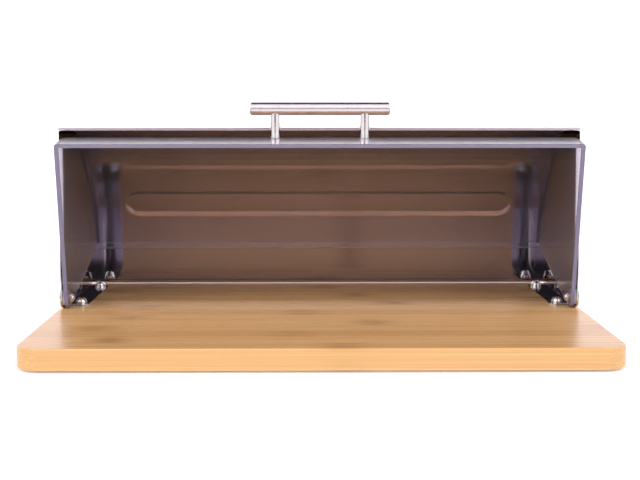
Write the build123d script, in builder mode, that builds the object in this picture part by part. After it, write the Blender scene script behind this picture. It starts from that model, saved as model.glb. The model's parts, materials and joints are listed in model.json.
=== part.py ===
"""Roll-top bread bin: bamboo board, steel rear housing and a clear hood that swings up inside it.

Millimetres, +X to the right, +Y to the back, +Z up. The origin is the centre of the footprint on
the surface that the feet stand on. The hood is drawn open, as it rests inside the housing.
"""
from build123d import *
from math import acos, asin, cos, degrees, hypot, radians, sin, tan
import os

os.makedirs("parts", exist_ok=True)

# ---- driving dimensions -------------------------------------------------------------------------
BOARD_W = 380.0          # board, left to right
BOARD_D = 275.0          # board, front to back
BOARD_T = 14.0
BOARD_CORNER_R = 16.0    # corners in plan
BOARD_EDGE_R = 1.2       # rounding along the top and bottom edges
FOOT_H = 1.5
FOOT_R = 8.0
FOOT_INSET = 26.0        # from the board's edges to a foot's centre

SHEET = 0.8              # steel sheet
HOUSING_W = 376.0        # housing, outside
HOUSING_R = 123.7        # outside radius of the curved wall, about the pivot
PIVOT_BEHIND_FRONT = 147.0   # pivot axis behind the board's front edge
PIVOT_H = 7.8            # pivot axis above the board
HUB_R = 7.2              # rounded corner of the side panels and of the hood, about the pivot
HOUSING_FRONT = 1.6      # top front edge of the housing, in front of the pivot axis
BACK_GAP = 0.35          # under the curved wall, above the board
HEM_T = 2.4              # folded hem, over all
HEM_L = 4.0              # length of the hem's inner leg
SIT = 0.05               # standing clearance between pieces that rest on each other
PANEL_PLAY = 0.2         # between the side panels and the hems

BEAD_W = 25.0            # stiffening beads pressed outwards in the curved wall
BEAD_L = 317.5
BEAD_DEPTH = 0.9         # of a bead's flat floor, at its middle
BEAD_ANGLES = (29.6, 53.1)   # up from the backward horizontal, about the pivot
BEAD_DRAFT = 68.0
BEAD_SINK = 0.7          # how far a bead's body starts inside the wall
BEAD_REACH = 8.0         # angle that surely takes in a bead, each side of its middle

FLANGE_IN = 171.5        # half the distance between the foot flanges' inner edges
FLANGE_START = 9.0       # flange's front and back end, behind the pivot axis
FLANGE_END = 106.0
FLANGE_CORNER = 4.0
RIM_FLANGE_W = 6.5       # flange that carries the curved wall
RIM_FLANGE_ANGLES = (3.0, 86.0)
SCREW_X = 177.5          # foot-flange screws, from the middle plane
SCREW_BACK = (17.0, 100.0)   # behind the pivot axis
SCREW_HEAD_R = 4.1
SCREW_HEAD_H = 4.4
SCREW_HEAD_RIM = 1.4
SCREW_R = 1.6
SCREW_L = 11.0
SCREW_POINT = 2.0

HOOD_T = 2.7             # hood's curved wall and front strip
HOOD_SIDE_T = 3.2        # hood's side walls
HOOD_R = 116.5           # outside radius of the hood's curved wall
HOOD_W_HUB = 371.4       # hood, outside, at the pivots
HOOD_DRAFT = 0.1         # each side wall leans inwards away from the pivots
HOOD_DRAFT_DIR = 60.0    # direction of that lean, up from the backward horizontal
HOOD_REAR = 11.4         # angle of the rear edge, open
HOOD_BEND = 101.0        # where the curved wall turns into a flat front strip
HOOD_STRIP = 9.0         # length of that strip
HOOD_CORNER_R = 1.8      # between the curved wall and the side walls, outside and inside
HOOD_CORNER_IN_R = 0.6
HOOD_RIM_R = 0.4
PIVOT_R = 1.5            # shank of the pivot bolts
RUNNING_FIT = 0.05       # radial clearance of the hood on the bolts

STOP_GAP = 0.4           # open, the posts stand this far in front of the housing's hem
POST_GAP = 64.0          # between the posts' axes
POST_R = 3.75
BAR_R = 4.75
BAR_L = 100.0
BAR_H = 20.9             # bar's axis above the hood
BAR_CHAMFER = 1.0
THREAD_R = 2.0           # M4, in the posts
HANDLE_HOLE_R = 2.15

# ---- derived places -----------------------------------------------------------------------------
BOARD_TOP = FOOT_H + BOARD_T
AXIS_Y = PIVOT_BEHIND_FRONT - BOARD_D / 2
AXIS_Z = BOARD_TOP + PIVOT_H
PIVOT_PLANE = Plane(origin=(0, AXIS_Y, AXIS_Z), x_dir=(0, 1, 0), z_dir=(1, 0, 0))
HOUSING_HALF = HOUSING_W / 2
PANEL_IN = HOUSING_HALF - SHEET
WALL_IN_R = HOUSING_R - SHEET
HOUSING_EDGE = 90 + degrees(asin((HOUSING_FRONT - HEM_T / 2) / HOUSING_R))
HOOD_STRIP_END_R = hypot(HOOD_R, HOOD_STRIP)
HOOD_FRONT = HOOD_BEND + degrees(asin(HOOD_STRIP / HOOD_STRIP_END_R))


def at(radius, angle):
    """Point of the YZ plane at a radius and an angle about the pivot axis."""
    return (AXIS_Y + radius * cos(radians(angle)), AXIS_Z + radius * sin(radians(angle)))


def radial_plane(radius, angle, x=0.0):
    """Plane that touches a circle about the pivot axis, facing outwards, with X along X."""
    y, z = at(radius, angle)
    outward = (0, cos(radians(angle)), sin(radians(angle)))
    return Plane(origin=(x, y, z), x_dir=(1, 0, 0), z_dir=outward)


def finish(builder, name):
    """Label a finished piece and write its STEP file."""
    builder.part.label = name
    export_step(builder.part, f"parts/{name}.step")


def mirrored(builder):
    """The same piece on the left side."""
    with BuildPart() as left:
        mirror(builder.part, about=Plane.YZ)
    return left


# ---- board and feet -----------------------------------------------------------------------------
PILOT_R = SCREW_R + SIT

with BuildPart() as board:
    with BuildSketch(Plane.XY.offset(FOOT_H)):
        RectangleRounded(BOARD_W, BOARD_D, BOARD_CORNER_R)
    extrude(amount=BOARD_T)
    rims = board.edges().filter_by(Plane.XY)
    fillet(rims, radius=BOARD_EDGE_R)
    screw_places = [(x, AXIS_Y + back) for x in (-SCREW_X, SCREW_X) for back in SCREW_BACK]
    with BuildSketch(Plane.XY.offset(BOARD_TOP)):
        with Locations(*screw_places):
            Circle(PILOT_R)
    extrude(amount=-SCREW_L, mode=Mode.SUBTRACT)
finish(board, "base_board")

with BuildPart() as feet:
    with BuildSketch(Plane.XY):
        with GridLocations(BOARD_W - 2 * FOOT_INSET, BOARD_D - 2 * FOOT_INSET, 2, 2):
            Circle(FOOT_R)
    extrude(amount=FOOT_H)
    fillet(feet.edges().group_by(Axis.Z)[0], radius=0.4)
finish(feet, "rubber_feet")

# ---- curved rear wall with its beads and folded hems ----------------------------------------------
HEM_IN_R = HOUSING_R - HEM_T                     # inner face of the folded leg
HEM_MID_R = HOUSING_R - HEM_T / 2
HEM_ANGLE = degrees(HEM_L / HOUSING_R)
LOW_EDGE_Z = BOARD_TOP + BACK_GAP
LOW_HEM_H = 2.6                                  # short leg of the hem along the lower edge
WALL_BACK = AXIS_Y + HOUSING_R
WALL_BACK_IN = AXIS_Y + WALL_IN_R


def ring_sector(inner, outer, start, end):
    """Ring sector about the pivot axis, with Y and Z of the object as its own X and Y."""
    middle = (start + end) / 2
    with BuildSketch() as sector:
        with BuildLine():
            ThreePointArc(at(outer, start), at(outer, middle), at(outer, end))
            Line(at(outer, end), at(inner, end))
            ThreePointArc(at(inner, end), at(inner, middle), at(inner, start))
            Line(at(inner, start), at(outer, start))
        make_face()
    return sector.sketch_local


def folded_hem_profile():
    """Front hem: the sheet turns inwards round a half circle into a short leg."""
    tip = HOUSING_EDGE + degrees(HEM_T / 2 / HOUSING_R)
    gap_tip = HOUSING_EDGE + degrees((HEM_T / 2 - SHEET) / HOUSING_R)
    leg_r = HEM_IN_R + SHEET
    with BuildSketch() as hem:
        add(ring_sector(HEM_IN_R, leg_r, HOUSING_EDGE - HEM_ANGLE, HOUSING_EDGE))
        with BuildLine():
            ThreePointArc(at(HOUSING_R, HOUSING_EDGE), at(HEM_MID_R, tip), at(HEM_IN_R, HOUSING_EDGE))
            Line(at(HEM_IN_R, HOUSING_EDGE), at(leg_r, HOUSING_EDGE))
            ThreePointArc(at(leg_r, HOUSING_EDGE), at(HEM_MID_R, gap_tip), at(WALL_IN_R, HOUSING_EDGE))
            Line(at(WALL_IN_R, HOUSING_EDGE), at(HOUSING_R, HOUSING_EDGE))
        make_face()
    return hem.sketch_local


def lower_hem_profile():
    """Rear hem: the sheet turns forwards and up into a short leg just above the board."""
    bend_y = WALL_BACK - HEM_T / 2
    bend_z = LOW_EDGE_Z + HEM_T / 2
    front = WALL_BACK - HEM_T
    leg_top = LOW_EDGE_Z + LOW_HEM_H
    with BuildSketch() as hem:
        with BuildLine():
            Line((WALL_BACK, AXIS_Z), (WALL_BACK, bend_z))
            ThreePointArc((WALL_BACK, bend_z), (bend_y, LOW_EDGE_Z), (front, bend_z))
            Line((front, bend_z), (front, leg_top))
            Line((front, leg_top), (front + SHEET, leg_top))
            Line((front + SHEET, leg_top), (front + SHEET, bend_z))
            ThreePointArc((front + SHEET, bend_z), (bend_y, LOW_EDGE_Z + SHEET), (WALL_BACK_IN, bend_z))
            Line((WALL_BACK_IN, bend_z), (WALL_BACK_IN, AXIS_Z))
            Line((WALL_BACK_IN, AXIS_Z), (WALL_BACK, AXIS_Z))
        make_face()
    return hem.sketch_local


def bead_body(angle, grow, height):
    """Drafted stadium with a flat top, from just inside the curved wall to a height above it."""
    with BuildPart() as body:
        with BuildSketch(radial_plane(WALL_IN_R - BEAD_SINK, angle)):
            SlotOverall(BEAD_L + 2 * grow, BEAD_W + 2 * grow)
        extrude(amount=BEAD_SINK + height, taper=BEAD_DRAFT)
    return body.part


with BuildPart() as wall:
    with BuildSketch(Plane.YZ.offset(-HOUSING_HALF)):
        add(ring_sector(WALL_IN_R, HOUSING_R, 0.0, HOUSING_EDGE))
        add(folded_hem_profile())
        add(lower_hem_profile())
    extrude(amount=HOUSING_W)
    for bead_angle in BEAD_ANGLES:
        add(bead_body(bead_angle, SHEET / cos(radians(BEAD_DRAFT)), SHEET + BEAD_DEPTH))
        add(bead_body(bead_angle, 0.0, BEAD_DEPTH), mode=Mode.SUBTRACT)
    inside = WALL_IN_R - 2 * BEAD_SINK
    with BuildSketch(Plane.YZ.offset(-HOUSING_HALF)):
        add(ring_sector(inside, WALL_IN_R, BEAD_ANGLES[0] - BEAD_REACH, BEAD_ANGLES[1] + BEAD_REACH))
    extrude(amount=HOUSING_W, mode=Mode.SUBTRACT)
finish(wall, "rear_shell")

# ---- side panels with their flanges ---------------------------------------------------------------
PANEL_R = WALL_IN_R - SIT                        # the plate ends under the curved wall
PANEL_FOOT = BOARD_TOP + SIT


def tangent_angle(radius, angle, side):
    """Where a line from a point at (radius, angle) touches the hub circle."""
    return angle + side * degrees(acos(HUB_R / radius))


def panel_outline():
    """Quarter round plate: curved edge, upright front edge, corner rounded about the pivot."""
    top_front = HOUSING_EDGE - HEM_ANGLE - PANEL_PLAY
    front_touch = tangent_angle(PANEL_R - HEM_T, HOUSING_EDGE, 1)
    rear_y = AXIS_Y + PANEL_R
    notch_y = rear_y - HEM_T
    notch_z = LOW_EDGE_Z + LOW_HEM_H + PANEL_PLAY
    notch_r = HEM_IN_R - PANEL_PLAY
    with BuildSketch() as outline:
        with BuildLine():
            Line((AXIS_Y, PANEL_FOOT), (notch_y, PANEL_FOOT))
            Line((notch_y, PANEL_FOOT), (notch_y, notch_z))
            Line((notch_y, notch_z), (rear_y, notch_z))
            Line((rear_y, notch_z), (rear_y, AXIS_Z))
            ThreePointArc((rear_y, AXIS_Z), at(PANEL_R, top_front / 2), at(PANEL_R, top_front))
            Line(at(PANEL_R, top_front), at(notch_r, top_front))
            Line(at(notch_r, top_front), at(notch_r, HOUSING_EDGE))
            Line(at(notch_r, HOUSING_EDGE), at(HUB_R, front_touch))
            ThreePointArc(at(HUB_R, front_touch), at(HUB_R, (front_touch + 270) / 2), at(HUB_R, 270))
            Line(at(HUB_R, 270), (AXIS_Y, PANEL_FOOT))
        make_face()
        with Locations((AXIS_Y, AXIS_Z)):
            Circle(PIVOT_R + SIT, mode=Mode.SUBTRACT)
    return outline.sketch_local


FLANGE_W = HOUSING_HALF - FLANGE_IN
FLANGE_Y = AXIS_Y + (FLANGE_START + FLANGE_END) / 2
FLANGE_HOLE_R = SCREW_R + 0.2
FLANGE_BEND_R = 0.6
EDGE_BAND = 0.01                                 # how near its place an edge is looked for

with BuildPart() as panel:
    with BuildSketch(Plane.YZ.offset(PANEL_IN)):
        add(panel_outline())
    extrude(amount=SHEET)
    with BuildSketch(Plane.XY.offset(PANEL_FOOT)):
        with Locations((HOUSING_HALF - FLANGE_W / 2, FLANGE_Y)):
            foot_flange = Rectangle(FLANGE_W, FLANGE_END - FLANGE_START)
        chamfer(foot_flange.vertices().group_by(Axis.X)[0], length=FLANGE_CORNER)
        with Locations(*[(SCREW_X, AXIS_Y + back) for back in SCREW_BACK]):
            Circle(FLANGE_HOLE_R, mode=Mode.SUBTRACT)
    extrude(amount=SHEET)
    with BuildSketch(Plane.YZ.offset(PANEL_IN - RIM_FLANGE_W)):
        add(ring_sector(PANEL_R - SHEET, PANEL_R, *RIM_FLANGE_ANGLES))
    extrude(amount=RIM_FLANGE_W + SHEET / 2)
    edges_along = panel.edges().filter_by(Axis.Y)
    beside_panel = edges_along.filter_by_position(Axis.X, PANEL_IN - EDGE_BAND, PANEL_IN + EDGE_BAND)
    fillet(beside_panel.filter_by_position(Axis.Z, BOARD_TOP, BOARD_TOP + 2 * SHEET), radius=FLANGE_BEND_R)
finish(panel, "side_panel_right")
finish(mirrored(panel), "side_panel_left")

# ---- fasteners --------------------------------------------------------------------------------
def cross_head_screw(head_r, head_h, rim, shank_r, length, point):
    """Screw with a domed head above Z = 0, its shank below, and a cross recess half as deep as the head."""
    slot_w = head_r * 0.2
    with BuildPart() as screw:
        with BuildSketch(Plane.XZ):
            with BuildLine():
                Line((0, -length), (0, head_h))
                TangentArc((0, head_h), (head_r, rim), tangent=(1, 0))
                Line((head_r, rim), (head_r, 0))
                Line((head_r, 0), (shank_r, 0))
                Line((shank_r, 0), (shank_r, -length + point))
                Line((shank_r, -length + point), (0, -length))
            make_face()
        revolve(axis=Axis.Z)
        with BuildSketch(Plane.XY.offset(head_h)):
            Rectangle(head_r, slot_w)
            Rectangle(slot_w, head_r)
        extrude(amount=-head_h / 2, mode=Mode.SUBTRACT)
    return screw.part


with BuildPart() as flange_screws:
    with Locations(*[(SCREW_X, AXIS_Y + back, PANEL_FOOT + SHEET + SIT) for back in SCREW_BACK]):
        add(cross_head_screw(SCREW_HEAD_R, SCREW_HEAD_H, SCREW_HEAD_RIM, SCREW_R, SCREW_L, SCREW_POINT))
finish(flange_screws, "flange_screws_right")
finish(mirrored(flange_screws), "flange_screws_left")

# ---- hood -----------------------------------------------------------------------------------------
HOOD_HALF = HOOD_W_HUB / 2
HOOD_REAR_TOUCH = tangent_angle(HOOD_R, HOOD_REAR, -1)
HOOD_FRONT_TOUCH = tangent_angle(HOOD_STRIP_END_R, HOOD_FRONT, 1)
HANDLE_ANGLE = 90 + degrees(asin((HOUSING_FRONT + STOP_GAP + POST_R) / (HOUSING_R - HEM_T)))
HOLLOW_PAST = 8.0                                # how far the hollow's body runs out past the hood
SHORTEST_CORNER = 0.6 * HOOD_STRIP               # of the edges that are rounded as corners


def hood_outline():
    """Outline of the hood seen along X: curved wall, flat front strip and the round hub."""
    hub_middle = (HOOD_FRONT_TOUCH + HOOD_REAR_TOUCH + 360) / 2
    arc_middle = (HOOD_REAR + HOOD_BEND) / 2
    with BuildSketch() as outline:
        with BuildLine():
            ThreePointArc(at(HOOD_R, HOOD_REAR), at(HOOD_R, arc_middle), at(HOOD_R, HOOD_BEND))
            Line(at(HOOD_R, HOOD_BEND), at(HOOD_STRIP_END_R, HOOD_FRONT))
            Line(at(HOOD_STRIP_END_R, HOOD_FRONT), at(HUB_R, HOOD_FRONT_TOUCH))
            ThreePointArc(at(HUB_R, HOOD_FRONT_TOUCH), at(HUB_R, hub_middle), at(HUB_R, HOOD_REAR_TOUCH))
            Line(at(HUB_R, HOOD_REAR_TOUCH), at(HOOD_R, HOOD_REAR))
        make_face()
    return outline.sketch_local


def hollow_outline():
    """Outline of the hollow inside the hood, which runs out past its rear, front and hub."""
    inner_r = HOOD_R - HOOD_T
    strip_end_r = hypot(inner_r, HOOD_STRIP + HOLLOW_PAST)
    strip_end = HOOD_BEND + degrees(asin((HOOD_STRIP + HOLLOW_PAST) / strip_end_r))
    rear = HOOD_REAR - HOLLOW_PAST
    with BuildSketch() as outline:
        with BuildLine():
            ThreePointArc(at(inner_r, rear), at(inner_r, (rear + HOOD_BEND) / 2), at(inner_r, HOOD_BEND))
            Polyline(
                at(inner_r, HOOD_BEND),
                at(strip_end_r, strip_end),
                at(3 * HUB_R, 180),
                at(3 * HUB_R, 250),
                at(3 * HUB_R, 320),
                at(inner_r, rear),
            )
        make_face()
    return outline.sketch_local


def drafted_block(outline, half, corner_r):
    """The outline drawn out to both sides, narrowing away from the pivots, with rounded corners."""
    lean = radians(HOOD_DRAFT_DIR)
    narrowing = tan(radians(HOOD_DRAFT))
    reach = 1.2 * HOOD_R
    back = 4 * HUB_R
    across = Plane(origin=(0, AXIS_Y, AXIS_Z), x_dir=(1, 0, 0), z_dir=(0, -sin(lean), cos(lean)))
    low, high = half + narrowing * back, half - narrowing * reach
    with BuildPart() as block:
        with BuildSketch(Plane.YZ.offset(-half - back)):
            add(outline)
        extrude(amount=2 * (half + back))
        with BuildSketch(across.offset(-reach)):
            with BuildLine():
                Polyline((-low, -back), (low, -back), (high, reach), (-high, reach), close=True)
            make_face()
        extrude(amount=2 * reach, mode=Mode.INTERSECT)
        top_faces = block.faces().filter_by(lambda f: f.center().Z > AXIS_Z + 0.5 * HOOD_R)
        side_edges = top_faces.edges().filter_by(lambda e: abs(e.center().X) > 0.9 * half)
        corners = [e for e in side_edges if e.length > SHORTEST_CORNER and from_axis(e) > 0.95 * HOOD_R]
        fillet(corners, radius=corner_r)
    return block.part


def from_axis(shape):
    """Distance of a shape's middle from the pivot axis."""
    middle = shape.position_at(0.5) if isinstance(shape, Edge) else shape.center()
    return hypot(middle.Y - AXIS_Y, middle.Z - AXIS_Z)


with BuildPart() as hood:
    add(drafted_block(hood_outline(), HOOD_HALF, HOOD_CORNER_R))
    add(
        drafted_block(hollow_outline(), HOOD_HALF - HOOD_SIDE_T, HOOD_CORNER_IN_R),
        mode=Mode.SUBTRACT,
    )
    with BuildSketch(PIVOT_PLANE.offset(-HOUSING_HALF)):
        Circle(PIVOT_R + RUNNING_FIT)
    extrude(amount=HOUSING_W, mode=Mode.SUBTRACT)
    for x in (-POST_GAP / 2, POST_GAP / 2):
        with BuildSketch(radial_plane(HOOD_R, HANDLE_ANGLE, x)):
            Circle(HANDLE_HOLE_R)
        extrude(amount=2 * HOOD_T, both=True, mode=Mode.SUBTRACT)
    upright = hood.faces().filter_by(lambda f: abs(f.normal_at().X) < 0.01)
    rims = upright.filter_by(lambda f: 0.8 * HUB_R < from_axis(f) < 0.9 * HOOD_R)
    long_edges = rims.edges().filter_by(lambda e: e.length > 1.5 * HOOD_T or from_axis(e) > 2 * HUB_R)
    fillet(long_edges, radius=HOOD_RIM_R)
finish(hood, "lid_hood")

# ---- pivots ---------------------------------------------------------------------------------------
SIDE_PLAY = 0.3                                  # beside the hood, between it and what holds it
SPACER_T = PANEL_IN - HOOD_HALF - SIDE_PLAY - SIT
SPACER_R = 5.5
WASHER_T = 0.5
WASHER_R = 3.8
WASHER_OUT = HOOD_HALF - HOOD_SIDE_T - SIDE_PLAY      # its face beside the hood's inner side
NUT_OUT = WASHER_OUT - WASHER_T - SIT
NUT_FLATS = 5.5
NUT_HEX_L = 1.3
NUT_DOME_R = 2.6
NUT_DOME_L = 1.5
THREAD_IN_DOME = 0.5                             # how far the bolt goes on into the nut's dome
BOLT_HEAD_H = 2.4
BOLT_HEAD_RIM = 0.5
BOLT_POINT = 0.4
BOLT_L = HOUSING_HALF - NUT_OUT + NUT_HEX_L + THREAD_IN_DOME

with BuildPart() as bolt:
    head_plane = PIVOT_PLANE.offset(HOUSING_HALF + SIT)
    with Locations(head_plane):
        add(cross_head_screw(HUB_R, BOLT_HEAD_H, BOLT_HEAD_RIM, PIVOT_R, BOLT_L, BOLT_POINT))

with BuildPart() as spacer:
    with BuildSketch(PIVOT_PLANE.offset(PANEL_IN - SIT)):
        Circle(SPACER_R)
        Circle(PIVOT_R + SIT, mode=Mode.SUBTRACT)
    extrude(amount=-SPACER_T)

with BuildPart() as washer:
    with BuildSketch(PIVOT_PLANE.offset(WASHER_OUT)):
        Circle(WASHER_R)
        Circle(PIVOT_R + SIT, mode=Mode.SUBTRACT)
    extrude(amount=-WASHER_T)

with BuildPart() as cap_nut:
    with BuildSketch(PIVOT_PLANE.offset(NUT_OUT)):
        RegularPolygon(NUT_FLATS / 2, 6, major_radius=False)
    extrude(amount=-NUT_HEX_L)
    dome_plane = Plane(origin=(NUT_OUT - NUT_HEX_L, AXIS_Y, AXIS_Z), x_dir=(0, 1, 0), z_dir=(0, 0, 1))
    with BuildSketch(dome_plane):
        with BuildLine():
            Polyline((0, NUT_DOME_L), (0, 0), (NUT_DOME_R, 0))
            TangentArc((0, NUT_DOME_L), (NUT_DOME_R, 0), tangent=(1, 0))
        make_face()
    revolve(axis=Axis((0, AXIS_Y, AXIS_Z), (1, 0, 0)))
    with BuildSketch(PIVOT_PLANE.offset(NUT_OUT)):
        Circle(PIVOT_R + SIT)
    extrude(amount=-(NUT_HEX_L + THREAD_IN_DOME + SIT), mode=Mode.SUBTRACT)

pivot_pieces = {"pivot_bolt": bolt, "pivot_spacer": spacer, "pivot_washer": washer, "cap_nut": cap_nut}
for piece_name, piece in pivot_pieces.items():
    finish(piece, f"{piece_name}_right")
    finish(mirrored(piece), f"{piece_name}_left")

# ---- handle ---------------------------------------------------------------------------------------
BAR_Y, BAR_Z = at(HOOD_R + BAR_H, HANDLE_ANGLE)
SPIGOT_R = 2.0
SPIGOT_L = 2.5
THREAD_L = 9.0
BAR_SEAT = 0.03                                  # between a post's hollowed end and the bar
HANDLE_WASHER_R = 4.5
HANDLE_WASHER_T = 0.8
HANDLE_WASHER_TOP = HOOD_R - HOOD_T - 0.12       # clears the hollow side of the curved wall
HEAD_R = 3.6                                     # of the handle screws
HEAD_H = 2.4
HEAD_RIM = 0.5
HANDLE_SCREW_L = HOOD_T + HANDLE_WASHER_T + THREAD_L
HANDLE_SCREW_POINT = 0.5

with BuildPart() as bar:
    with BuildSketch(Plane.YZ.offset(-BAR_L / 2)):
        with Locations((BAR_Y, BAR_Z)):
            Circle(BAR_R)
    extrude(amount=BAR_L)
    chamfer(bar.edges().filter_by(GeomType.CIRCLE), length=BAR_CHAMFER)
    for x in (-POST_GAP / 2, POST_GAP / 2):
        with BuildSketch(radial_plane(HOOD_R, HANDLE_ANGLE, x)):
            Circle(SPIGOT_R + SIT)
        extrude(amount=BAR_H - BAR_R + SPIGOT_L + SIT, mode=Mode.SUBTRACT)
finish(bar, "handle_bar")

for x, side_name in ((-POST_GAP / 2, "left"), (POST_GAP / 2, "right")):
    foot_plane = radial_plane(HOOD_R + SIT, HANDLE_ANGLE, x)
    with BuildPart() as post:
        with BuildSketch(foot_plane):
            Circle(POST_R)
        extrude(amount=BAR_H)
        with BuildSketch(Plane.YZ.offset(-BAR_L / 2)):
            with Locations((BAR_Y, BAR_Z)):
                Circle(BAR_R + BAR_SEAT)
        extrude(amount=BAR_L, mode=Mode.SUBTRACT)
        with BuildSketch(foot_plane):
            Circle(SPIGOT_R)
        extrude(amount=BAR_H - BAR_R + SPIGOT_L - SIT)
        with BuildSketch(foot_plane):
            Circle(THREAD_R + SIT)
        extrude(amount=THREAD_L + SIT, mode=Mode.SUBTRACT)
    finish(post, f"handle_post_{side_name}")

    with BuildPart() as handle_washer:
        with BuildSketch(radial_plane(HANDLE_WASHER_TOP, HANDLE_ANGLE, x)):
            Circle(HANDLE_WASHER_R)
            Circle(HANDLE_HOLE_R, mode=Mode.SUBTRACT)
        extrude(amount=-HANDLE_WASHER_T)
    finish(handle_washer, f"handle_washer_{side_name}")

    with BuildPart() as handle_screw:
        outwards = radial_plane(HANDLE_WASHER_TOP - HANDLE_WASHER_T - SIT, HANDLE_ANGLE, x)
        with Locations(Plane(origin=outwards.origin, x_dir=outwards.x_dir, z_dir=-outwards.z_dir)):
            add(cross_head_screw(HEAD_R, HEAD_H, HEAD_RIM, THREAD_R, HANDLE_SCREW_L, HANDLE_SCREW_POINT))
    finish(handle_screw, f"handle_screw_{side_name}")
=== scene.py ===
import json
import math

import bmesh
import bpy
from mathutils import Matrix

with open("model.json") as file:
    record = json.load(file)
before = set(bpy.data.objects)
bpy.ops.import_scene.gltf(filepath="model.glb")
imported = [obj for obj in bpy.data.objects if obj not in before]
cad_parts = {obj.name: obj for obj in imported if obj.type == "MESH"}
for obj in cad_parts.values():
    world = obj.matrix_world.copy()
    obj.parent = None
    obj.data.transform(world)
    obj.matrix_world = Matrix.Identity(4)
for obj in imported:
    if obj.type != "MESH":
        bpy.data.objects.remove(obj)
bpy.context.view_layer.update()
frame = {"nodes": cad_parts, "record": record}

MM = 0.001

# Camera
LENS = 67.44
SENSOR_WIDTH = 36
CAMERA_PLACE = (-0.0091, -0.8582, 0.16515)
CAMERA_DOWN = math.radians(6.557)
CAMERA_TURN = math.radians(0.606)

# Floor
FLOOR_RADIUS = 1.1
FLOOR_SIDES = 96
FLOOR_DIM = (0.88, 0.88, 0.89, 1)
FLOOR_BRIGHT = (0.91, 0.91, 0.92, 1)
FLOOR_GLOW = 0.22

# Light, by direction: x, y and z run from -1 to 1, the two softbox outer edges are angles from the front,
# and a pair says where a light starts and where it is full
BACKDROP_LIGHT = 1.5
BACKDROP_COLOUR = (1.0, 0.93, 0.99, 1)
BACKDROP_BEHIND = (-0.05, 0.20)
BACKDROP_TOP = (0.80, 0.55)
SOFTBOX_LIGHT = 3.2
SOFTBOX_FOOT_LIGHT = 0.30 * SOFTBOX_LIGHT
SOFTBOX_INNER = (0.24, 0.33)
SOFTBOX_OUTER = (math.radians(88), math.radians(76))
SOFTBOX_TOP = (0.97, 0.93)
SOFTBOX_BOTTOM = (-0.25, -0.15)
SOFTBOX_RISE = (-0.05, 0.45)
FILL_LIGHT = 0.6
FILL_FRONT = (-0.1, -0.3)
FILL_BOTTOM = (0.26, 0.36)
ROOM_LIGHT = 0.045
ROOM_COLOUR = (0.80, 0.68, 1.0, 1)
WHITE = (1, 1, 1, 1)

# Bamboo board
STRIP_W = 20 * MM
STRIP_START = 200 * MM
LAYER_FOOT = 1.5 * MM
LAYER_H = 7 * MM
BAMBOO_PALE = (0.82, 0.495, 0.21, 1)
BAMBOO_MID = (0.58, 0.295, 0.097, 1)
BAMBOO_DEEP = (0.43, 0.21, 0.062, 1)
BAMBOO_BRIGHT = (0.86, 0.58, 0.29, 1)
BAMBOO_NODE = (0.33, 0.15, 0.045, 1)
BAMBOO_GLUE = (0.40, 0.19, 0.06, 1)
BAMBOO_CUT = (0.30, 0.14, 0.04, 1)
GRAIN_SHIFT = (3.0, 3.0, 3.0)
FIBRE_SCALE = (7.0, 1700.0, 1700.0)
STREAK_SCALE = (3.0, 240.0, 240.0)
CLOUD_SCALE = (5.0, 60.0, 60.0)
BRIGHT_SCALE = (2.0, 700.0, 700.0)
FIBRE_HEIGHT = 0.03 * MM
NODE_PITCH = 340 * MM
NODE_SHIFT = 0.832
NODE_DARK = 0.85
NODE_CORE = 0.6
GLUE_SHADE = 0.3
CUT_SHADE = 0.2
CUT_TO_FACE = (0.2, 0.8)

# Housing sheet, with its heights measured from the hinge
HINGE = tuple(frame["record"]["behaviour"]["joints"][0]["pos_m"])
RUBBED_FROM, RUBBED_TO = HINGE[2] + 20 * MM, HINGE[2] + 60 * MM
HEM_FROM, HEM_TO = HINGE[2] + 108 * MM, HINGE[2] + 119 * MM
# a paler lilac painted into the shell's inside at the hem, a painted reflection
HEM_PAINTED_SHEEN = (0.80, 0.78, 0.92, 1)
RUBBED_ROUGH = 0.07
HEM_ROUGH = 0.23
WAVE_HEIGHT = 0.12 * MM
LINE_HEIGHT = 0.004 * MM

# Hood
HUB_REACH = (0.03, 0.06)
FACE_CLEAR = 0.962
EDGE_CLEAR = 0.45
MILKY = 0.06
HOOD_ROUGH = 0.045
HOOD_ROUGH_GRAZED = 0.34
HOOD_SIDE_ROUGH_GRAZED = 0.08
HOOD_DIM = (0.90, 0.87, 0.96, 1)
HOOD_BRIGHT = (0.93, 0.90, 0.98, 1)
HOOD_EDGE = (0.33, 0.29, 0.44, 1)
HOOD_INSIDE = (0.55, 0.53, 0.76, 1)
HOOD_DENSITY = 12.0
HOOD_IOR = 1.5


# ---------------------------------------------------------------- node helpers


def add(tree, kind, inputs=None, **settings):
    """Adds a node. inputs maps an input's name or number to a value or to another node's output."""
    made = tree.nodes.new(kind)
    for key, value in settings.items():
        setattr(made, key, value)
    for key, value in (inputs or {}).items():
        if isinstance(value, bpy.types.NodeSocket):
            tree.links.new(value, made.inputs[key])
        else:
            made.inputs[key].default_value = value
    return made


def maths(tree, operation, a, b=0.0, c=0.0):
    return add(tree, "ShaderNodeMath", {0: a, 1: b, 2: c}, operation=operation).outputs[0]


def times(tree, first, *others):
    """The product of two or more values."""
    for other in others:
        first = maths(tree, "MULTIPLY", first, other)
    return first


def smooth_step(tree, value, start, end, low=0.0, high=1.0):
    """Goes smoothly from low to high as value goes from start to end."""
    inputs = {"Value": value, "From Min": start, "From Max": end, "To Min": low, "To Max": high}
    return add(tree, "ShaderNodeMapRange", inputs, interpolation_type="SMOOTHSTEP").outputs[0]


def mapped(tree, value, start, end, low, high):
    """Goes evenly from low to high as value goes from start to end."""
    inputs = {"Value": value, "From Min": start, "From Max": end, "To Min": low, "To Max": high}
    return add(tree, "ShaderNodeMapRange", inputs).outputs[0]


def mixed(tree, share, a, b):
    """A colour between a and b, by share."""
    return add(tree, "ShaderNodeMix", {0: share, 6: a, 7: b}, data_type="RGBA").outputs[2]


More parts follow.
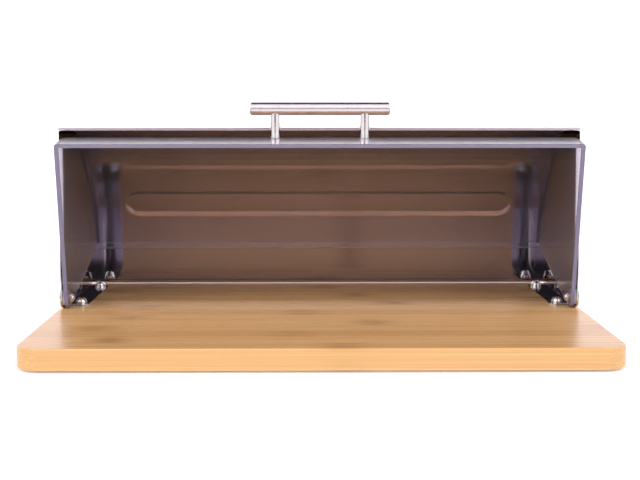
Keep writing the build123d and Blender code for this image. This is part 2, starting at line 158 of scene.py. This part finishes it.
def scaled(tree, vector, x, y, z):
    inputs = {0: vector, 1: (x, y, z)}
    return add(tree, "ShaderNodeVectorMath", inputs, operation="MULTIPLY").outputs[0]


def noise(tree, vector, scale=1.0, detail=3.0, rough=0.5):
    inputs = {"Vector": vector, "Scale": scale, "Detail": detail, "Roughness": rough}
    return add(tree, "ShaderNodeTexNoise", inputs).outputs["Fac"]


def bump(tree, height, distance, strength=1.0, normal=None):
    inputs = {"Height": height, "Distance": distance, "Strength": strength}
    if normal is not None:
        inputs["Normal"] = normal
    return add(tree, "ShaderNodeBump", inputs).outputs[0]


def split(tree, vector):
    """A vector's x, y and z."""
    return tuple(add(tree, "ShaderNodeSeparateXYZ", {0: vector}).outputs)


def facing_direction(tree):
    """The surface's normal, in the piece's own coordinates."""
    return add(tree, "ShaderNodeTexCoord").outputs["Normal"]


def from_middle(tree, count):
    """How far a running count is from the middle of its present step, from 0 to 0.5."""
    return maths(tree, "ABSOLUTE", maths(tree, "SUBTRACT", maths(tree, "FRACT", count), 0.5))


def new_material(name):
    """A new material, its tree, its Principled node and the piece's own coordinates in metres."""
    material = bpy.data.materials.new(name)
    material.use_nodes = True
    tree = material.node_tree
    place = add(tree, "ShaderNodeTexCoord").outputs["Object"]
    return material, tree, tree.nodes["Principled BSDF"], place


def connect(tree, shader, **links):
    for name, socket in links.items():
        tree.links.new(socket, shader.inputs[name.replace("_", " ")])


# ---------------------------------------------------------------- camera, floor, light


def make_camera():
    data = bpy.data.cameras.new("camera")
    data.lens = LENS
    data.sensor_width = SENSOR_WIDTH
    camera = bpy.data.objects.new("camera", data)
    camera.location = CAMERA_PLACE
    camera.rotation_euler = (math.pi / 2 - CAMERA_DOWN, 0, -CAMERA_TURN)
    bpy.context.scene.collection.objects.link(camera)
    bpy.context.scene.camera = camera


def make_floor():
    mesh = bpy.data.meshes.new("floor")
    shape = bmesh.new()
    bmesh.ops.create_circle(shape, cap_ends=True, segments=FLOOR_SIDES, radius=FLOOR_RADIUS)
    shape.to_mesh(mesh)
    shape.free()
    floor = bpy.data.objects.new("floor", mesh)
    bpy.context.scene.collection.objects.link(floor)
    material, tree, shader, place = new_material("floor_paper")
    tone = noise(tree, place, scale=3.0, detail=2.0)
    colour = mixed(tree, tone, FLOOR_DIM, FLOOR_BRIGHT)
    connect(tree, shader, Base_Color=colour)
    shader.inputs["Roughness"].default_value = 0.9
    shader.inputs["Specular IOR Level"].default_value = 0.1
    shader.inputs["Emission Color"].default_value = WHITE
    shader.inputs["Emission Strength"].default_value = FLOOR_GLOW
    mesh.materials.append(material)


def make_light():
    """A white backdrop behind, a tall softbox at the front on each side with a dark strip between them.

    High up at the front there is a weak fill light, and everything stands in a dim lilac room.
    """
    world = bpy.data.worlds.new("studio")
    world.use_nodes = True
    bpy.context.scene.world = world
    tree = world.node_tree
    x, y, z = split(tree, add(tree, "ShaderNodeTexCoord").outputs["Generated"])
    side = maths(tree, "ABSOLUTE", x)
    around = maths(tree, "ARCTAN2", side, maths(tree, "MULTIPLY", y, -1.0))
    behind = smooth_step(tree, y, *BACKDROP_BEHIND)
    backdrop = times(tree, behind, smooth_step(tree, z, *BACKDROP_TOP), BACKDROP_LIGHT)
    inner = smooth_step(tree, side, *SOFTBOX_INNER)
    outer = smooth_step(tree, around, *SOFTBOX_OUTER)
    top = smooth_step(tree, z, *SOFTBOX_TOP)
    bottom = smooth_step(tree, z, *SOFTBOX_BOTTOM)
    level = smooth_step(tree, z, *SOFTBOX_RISE, SOFTBOX_FOOT_LIGHT, SOFTBOX_LIGHT)
    softboxes = times(tree, inner, outer, bottom, top, level)
    fill = times(tree, smooth_step(tree, y, *FILL_FRONT), smooth_step(tree, z, *FILL_BOTTOM), FILL_LIGHT)
    # what the camera sees past the floor is at least white
    seen = add(tree, "ShaderNodeLightPath").outputs["Is Camera Ray"]
    lights = maths(tree, "MAXIMUM", maths(tree, "MAXIMUM", backdrop, softboxes), seen)
    tinted = times(tree, behind, maths(tree, "SUBTRACT", 1.0, seen))
    paper = mixed(tree, tinted, WHITE, BACKDROP_COLOUR)
    colour = mixed(tree, smooth_step(tree, lights, 0.0, 0.6), ROOM_COLOUR, paper)
    strength = maths(tree, "ADD", maths(tree, "MAXIMUM", lights, fill), ROOM_LIGHT)
    background = tree.nodes["Background"]
    tree.links.new(colour, background.inputs["Color"])
    tree.links.new(strength, background.inputs["Strength"])


# ---------------------------------------------------------------- materials


def bamboo():
    """Bamboo strips along X, glued side by side in two layers: long fibres, tone by strip, a few nodes."""
    material, tree, shader, place = new_material("laminated_bamboo")
    x, y, z = split(tree, place)
    across = maths(tree, "DIVIDE", maths(tree, "ADD", y, STRIP_START), STRIP_W)
    up = maths(tree, "DIVIDE", maths(tree, "SUBTRACT", z, LAYER_FOOT), LAYER_H)
    strip = maths(tree, "FLOOR", across)
    layer = maths(tree, "FLOOR", up)
    which = add(tree, "ShaderNodeCombineXYZ", {0: strip, 1: layer, 2: 0.0}).outputs[0]
    chance = add(tree, "ShaderNodeTexWhiteNoise", {"Vector": which}, noise_dimensions="3D").outputs
    tone = chance["Value"]
    faint = split(tree, chance["Color"])[1]
    up_facing = maths(tree, "ABSOLUTE", split(tree, facing_direction(tree))[2])

    # fibres and streaks along X, different in each strip
    shift = scaled(tree, chance["Color"], *GRAIN_SHIFT)
    moved = add(tree, "ShaderNodeVectorMath", {0: place, 1: shift}, operation="ADD").outputs[0]
    fibre = noise(tree, scaled(tree, moved, *FIBRE_SCALE), detail=2.0, rough=0.6)
    streak = noise(tree, scaled(tree, moved, *STREAK_SCALE), detail=3.0, rough=0.5)
    cloud = noise(tree, scaled(tree, moved, *CLOUD_SCALE), detail=3.0, rough=0.6)
    bright = noise(tree, scaled(tree, moved, *BRIGHT_SCALE), detail=2.0, rough=0.5)
    base = mixed(tree, tone, BAMBOO_PALE, BAMBOO_MID)
    base = mixed(tree, smooth_step(tree, streak, 0.45, 0.80, 0.0, 0.32), base, BAMBOO_DEEP)
    base = mixed(tree, smooth_step(tree, fibre, 0.5, 0.85, 0.0, 0.25), base, BAMBOO_DEEP)
    soft = mixed(tree, streak, BAMBOO_PALE, BAMBOO_MID)
    base = mixed(tree, smooth_step(tree, cloud, 0.40, 0.70, 0.0, 0.32), base, soft)
    base = mixed(tree, smooth_step(tree, bright, 0.50, 0.72, 0.0, 0.5), base, BAMBOO_BRIGHT)

    # nodes: a short darker patch across the strip at its own place along it, faint where a side is cut
    along = maths(tree, "MULTIPLY_ADD", strip, 0.5, maths(tree, "DIVIDE", x, NODE_PITCH))
    along = maths(tree, "ADD", along, maths(tree, "MULTIPLY_ADD", tone, 0.3, NODE_SHIFT))
    from_node = from_middle(tree, along)
    ragged = maths(tree, "MULTIPLY_ADD", streak, 0.14, maths(tree, "SUBTRACT", from_node, 0.07))
    patch = smooth_step(tree, ragged, -0.01, 0.07, NODE_DARK, 0.0)
    core = smooth_step(tree, from_node, 0.004, 0.016, NODE_CORE, 0.0)
    by_side = smooth_step(tree, up_facing, *CUT_TO_FACE, 0.15, 1.0)
    by_streak = smooth_step(tree, streak, 0.36, 0.52, 0.25, 1.0)
    by_strip = mapped(tree, faint, 0.0, 1.0, 0.45, 1.0)
    node = times(tree, maths(tree, "MAXIMUM", patch, core), by_side, by_streak, by_strip)
    base = mixed(tree, node, base, BAMBOO_NODE)

    # glue lines between strips and layers, and the darker cut sides
    between_strips = smooth_step(tree, from_middle(tree, across), 0.482, 0.5)
    between_layers = smooth_step(tree, from_middle(tree, up), 0.455, 0.5)
    seam = times(tree, maths(tree, "MAXIMUM", between_strips, between_layers), GLUE_SHADE)
    base = mixed(tree, seam, base, BAMBOO_GLUE)
    base = mixed(tree, smooth_step(tree, up_facing, *CUT_TO_FACE, CUT_SHADE, 0.0), base, BAMBOO_CUT)

    rough = mapped(tree, fibre, 0.3, 0.8, 0.24, 0.36)
    height = maths(tree, "MULTIPLY_ADD", streak, 0.6, fibre)
    connect(tree, shader, Base_Color=base, Roughness=rough, Normal=bump(tree, height, FIBRE_HEIGHT, 0.5))
    return material


def outwardness(tree, place):
    """How far the surface faces away from the hinge's axis, from -1 to 1, and how far sideways, from 0 to 1.

    The third value is its distance from that axis.
    """
    from_hinge = add(tree, "ShaderNodeVectorMath", {0: place, 1: HINGE}, operation="SUBTRACT").outputs[0]
    flat = scaled(tree, from_hinge, 0.0, 1.0, 1.0)
    outward = add(tree, "ShaderNodeVectorMath", {0: flat}, operation="NORMALIZE").outputs[0]
    facing = facing_direction(tree)
    both = {0: outward, 1: facing}
    turned = add(tree, "ShaderNodeVectorMath", both, operation="DOT_PRODUCT").outputs["Value"]
    sideways = maths(tree, "ABSOLUTE", split(tree, facing)[0])
    distance = add(tree, "ShaderNodeVectorMath", {0: flat}, operation="LENGTH").outputs["Value"]
    return turned, sideways, distance


def sheet_steel(name, low, high, rough_in, rough_out, grain, hem=0.0):
    """Stainless sheet with fine rolling lines and faint smears, slightly wavy, with a gloss for each side.

    hem, from 0 to 1, says how far its inside gets hazier higher up, and how strongly a paler lilac sheen is
    painted into its inside at the hem.
    """
    material, tree, shader, place = new_material(name)
    line = noise(tree, scaled(tree, place, *grain), detail=3.0, rough=0.6)
    smear = noise(tree, place, scale=26.0, detail=3.0)
    wavy = noise(tree, place, scale=14.0, detail=1.0)
    turned = outwardness(tree, place)[0]
    up = split(tree, place)[2]
    at_hem = smooth_step(tree, up, HEM_FROM, HEM_TO)
    base = mixed(tree, mapped(tree, line, 0.25, 0.75, 0.0, 1.0), low, high)
    # painted reflection: the inside turns paler and lilac at the hem
    hem_painted_sheen = times(tree, at_hem, smooth_step(tree, turned, -0.6, 0.0, hem, 0.0))
    base = mixed(tree, hem_painted_sheen, base, HEM_PAINTED_SHEEN)
    inside = smooth_step(tree, up, RUBBED_FROM, RUBBED_TO, rough_in, rough_in + RUBBED_ROUGH * hem)
    inside = maths(tree, "MULTIPLY_ADD", at_hem, HEM_ROUGH * hem, inside)
    rough = smooth_step(tree, turned, -0.6, 0.6, inside, rough_out)
    rough = maths(tree, "MULTIPLY_ADD", smear, 0.05, rough)
    rough = maths(tree, "MULTIPLY_ADD", line, 0.03, rough)
    waves = bump(tree, wavy, WAVE_HEIGHT)
    lines = bump(tree, line, LINE_HEIGHT, 1.0, waves)
    connect(tree, shader, Base_Color=base, Roughness=rough, Normal=lines)
    shader.inputs["Metallic"].default_value = 1.0
    return material


def small_steel(name, colour, dark, rough_low, rough_high, scale, ridge=0.01):
    """Turned or pressed steel in small pieces."""
    material, tree, shader, place = new_material(name)
    lines = noise(tree, scaled(tree, place, *scale), detail=3.0, rough=0.6)
    spots = noise(tree, place, scale=420.0, detail=3.0)
    base = mixed(tree, mapped(tree, lines, 0.3, 0.7, 0.0, 1.0), dark, colour)
    rough = mapped(tree, spots, 0.3, 0.7, rough_low, rough_high)
    connect(tree, shader, Base_Color=base, Roughness=rough, Normal=bump(tree, lines, ridge * MM, 0.6))
    shader.inputs["Metallic"].default_value = 1.0
    return material


def spread_along(material, axis):
    """Fine turning lines run round the axis, so reflections spread along it."""
    tree = material.node_tree
    shader = tree.nodes["Principled BSDF"]
    tangent = add(tree, "ShaderNodeTangent", direction_type="RADIAL", axis=axis).outputs[0]
    tree.links.new(tangent, shader.inputs["Tangent"])
    shader.inputs["Anisotropic"].default_value = 0.9
    shader.inputs["Anisotropic Rotation"].default_value = 0.25


def smoke_plastic():
    """Clear moulded plastic with a lavender smoke tint that gathers in its cut edges.

    Its curved wall is hazy and a little milky where it is seen at a grazing angle.
    """
    material, tree, shader, place = new_material("smoke_plastic_clear")
    flow = noise(tree, place, scale=9.0, detail=2.0)
    wipes = noise(tree, scaled(tree, place, 40.0, 260.0, 40.0), detail=3.0, rough=0.6)
    # an edge faces neither along the hinge's radius nor sideways, and near the hubs the radius doesn't count
    turned, sideways, distance = outwardness(tree, place)
    wall = times(tree, maths(tree, "ABSOLUTE", turned), smooth_step(tree, distance, *HUB_REACH))
    edge = smooth_step(tree, maths(tree, "MAXIMUM", wall, sideways), 0.35, 0.75, 1.0, 0.0)
    tint = mixed(tree, flow, HOOD_DIM, HOOD_BRIGHT)
    tint = mixed(tree, edge, tint, HOOD_EDGE)
    glancing = add(tree, "ShaderNodeLayerWeight", {"Blend": 0.5}).outputs["Facing"]
    on_side = smooth_step(tree, sideways, 0.3, 0.7)
    grazed = mapped(tree, on_side, 0.0, 1.0, HOOD_ROUGH_GRAZED, HOOD_SIDE_ROUGH_GRAZED)
    rough = smooth_step(tree, glancing, 0.65, 0.9, HOOD_ROUGH, grazed)
    rough = maths(tree, "MULTIPLY_ADD", wipes, 0.03, rough)
    milky = smooth_step(tree, glancing, 0.75, 0.95, 0.0, MILKY)
    face = maths(tree, "SUBTRACT", FACE_CLEAR, mapped(tree, on_side, 0.0, 1.0, milky, 0.0))
    clear = mapped(tree, edge, 0.0, 1.0, face, EDGE_CLEAR)
    connect(tree, shader, Base_Color=tint, Roughness=rough, Normal=bump(tree, flow, 0.3 * MM, 0.5))
    connect(tree, shader, Transmission_Weight=clear)
    shader.inputs["IOR"].default_value = HOOD_IOR
    inside = add(tree, "ShaderNodeVolumeAbsorption", {"Color": HOOD_INSIDE, "Density": HOOD_DENSITY})
    tree.links.new(inside.outputs[0], tree.nodes["Material Output"].inputs["Volume"])
    return material


def moulded(name, colour, other, rough_low, rough_high, through=0.0):
    """Plain moulded rubber or plastic with a fine skin."""
    material, tree, shader, place = new_material(name)
    skin = noise(tree, place, scale=900.0, detail=3.0)
    cloud = noise(tree, place, scale=120.0, detail=2.0)
    base = mixed(tree, cloud, colour, other)
    rough = mapped(tree, skin, 0.3, 0.7, rough_low, rough_high)
    connect(tree, shader, Base_Color=base, Roughness=rough, Normal=bump(tree, skin, 0.05 * MM, 0.5))
    shader.inputs["Subsurface Weight"].default_value = through
    shader.inputs["Subsurface Scale"].default_value = 1 * MM
    return material


def dress(material, *names):
    for name in names:
        node = frame["nodes"][name]
        for number in range(len(node.data.materials)):
            node.data.materials[number] = material


def pair(name):
    return f"{name}_left", f"{name}_right"


def dress_all():
    dress(bamboo(), "base_board")
    shell = sheet_steel(
        "shell_steel",
        low=(0.53, 0.49, 0.50, 1),
        high=(0.61, 0.57, 0.585, 1),
        rough_in=0.02,
        rough_out=0.38,
        grain=(6.0, 2500.0, 2500.0),
        hem=0.8,
    )
    dress(shell, "rear_shell")
    panel = sheet_steel(
        "panel_steel_polished",
        low=(0.46, 0.43, 0.43, 1),
        high=(0.54, 0.51, 0.51, 1),
        rough_in=0.01,
        rough_out=0.02,
        grain=(2500.0, 6.0, 2500.0),
    )
    dress(panel, *pair("side_panel"))
    turned = small_steel(
        "turned_steel",
        colour=(0.76, 0.70, 0.70, 1),
        dark=(0.70, 0.64, 0.64, 1),
        rough_low=0.27,
        rough_high=0.33,
        scale=(2600.0, 30.0, 30.0),
        ridge=0.001,
    )
    spread_along(turned, "X")
    dress(turned, "handle_bar")
    post = small_steel(
        "post_steel",
        colour=(0.90, 0.85, 0.85, 1),
        dark=(0.76, 0.70, 0.70, 1),
        rough_low=0.10,
        rough_high=0.16,
        scale=(60.0, 60.0, 2600.0),
        ridge=0.02,
    )
    dress(post, *pair("handle_post"))
    bright = small_steel(
        "bright_steel",
        colour=(0.74, 0.72, 0.70, 1),
        dark=(0.62, 0.60, 0.58, 1),
        rough_low=0.08,
        rough_high=0.18,
        scale=(900.0, 900.0, 900.0),
    )
    for name in ("flange_screws", "pivot_bolt", "pivot_washer", "cap_nut", "handle_screw", "handle_washer"):
        dress(bright, *pair(name))
    dress(smoke_plastic(), "lid_hood")
    nylon = moulded("nylon_natural", (0.78, 0.77, 0.72, 1), (0.84, 0.83, 0.79, 1), 0.35, 0.5, 0.2)
    dress(nylon, *pair("pivot_spacer"))
    rubber = moulded("black_rubber", (0.018, 0.018, 0.019, 1), (0.03, 0.03, 0.032, 1), 0.55, 0.75)
    dress(rubber, "rubber_feet")


make_camera()
make_floor()
make_light()
dress_all()
bpy.context.scene.view_settings.view_transform = "Standard"
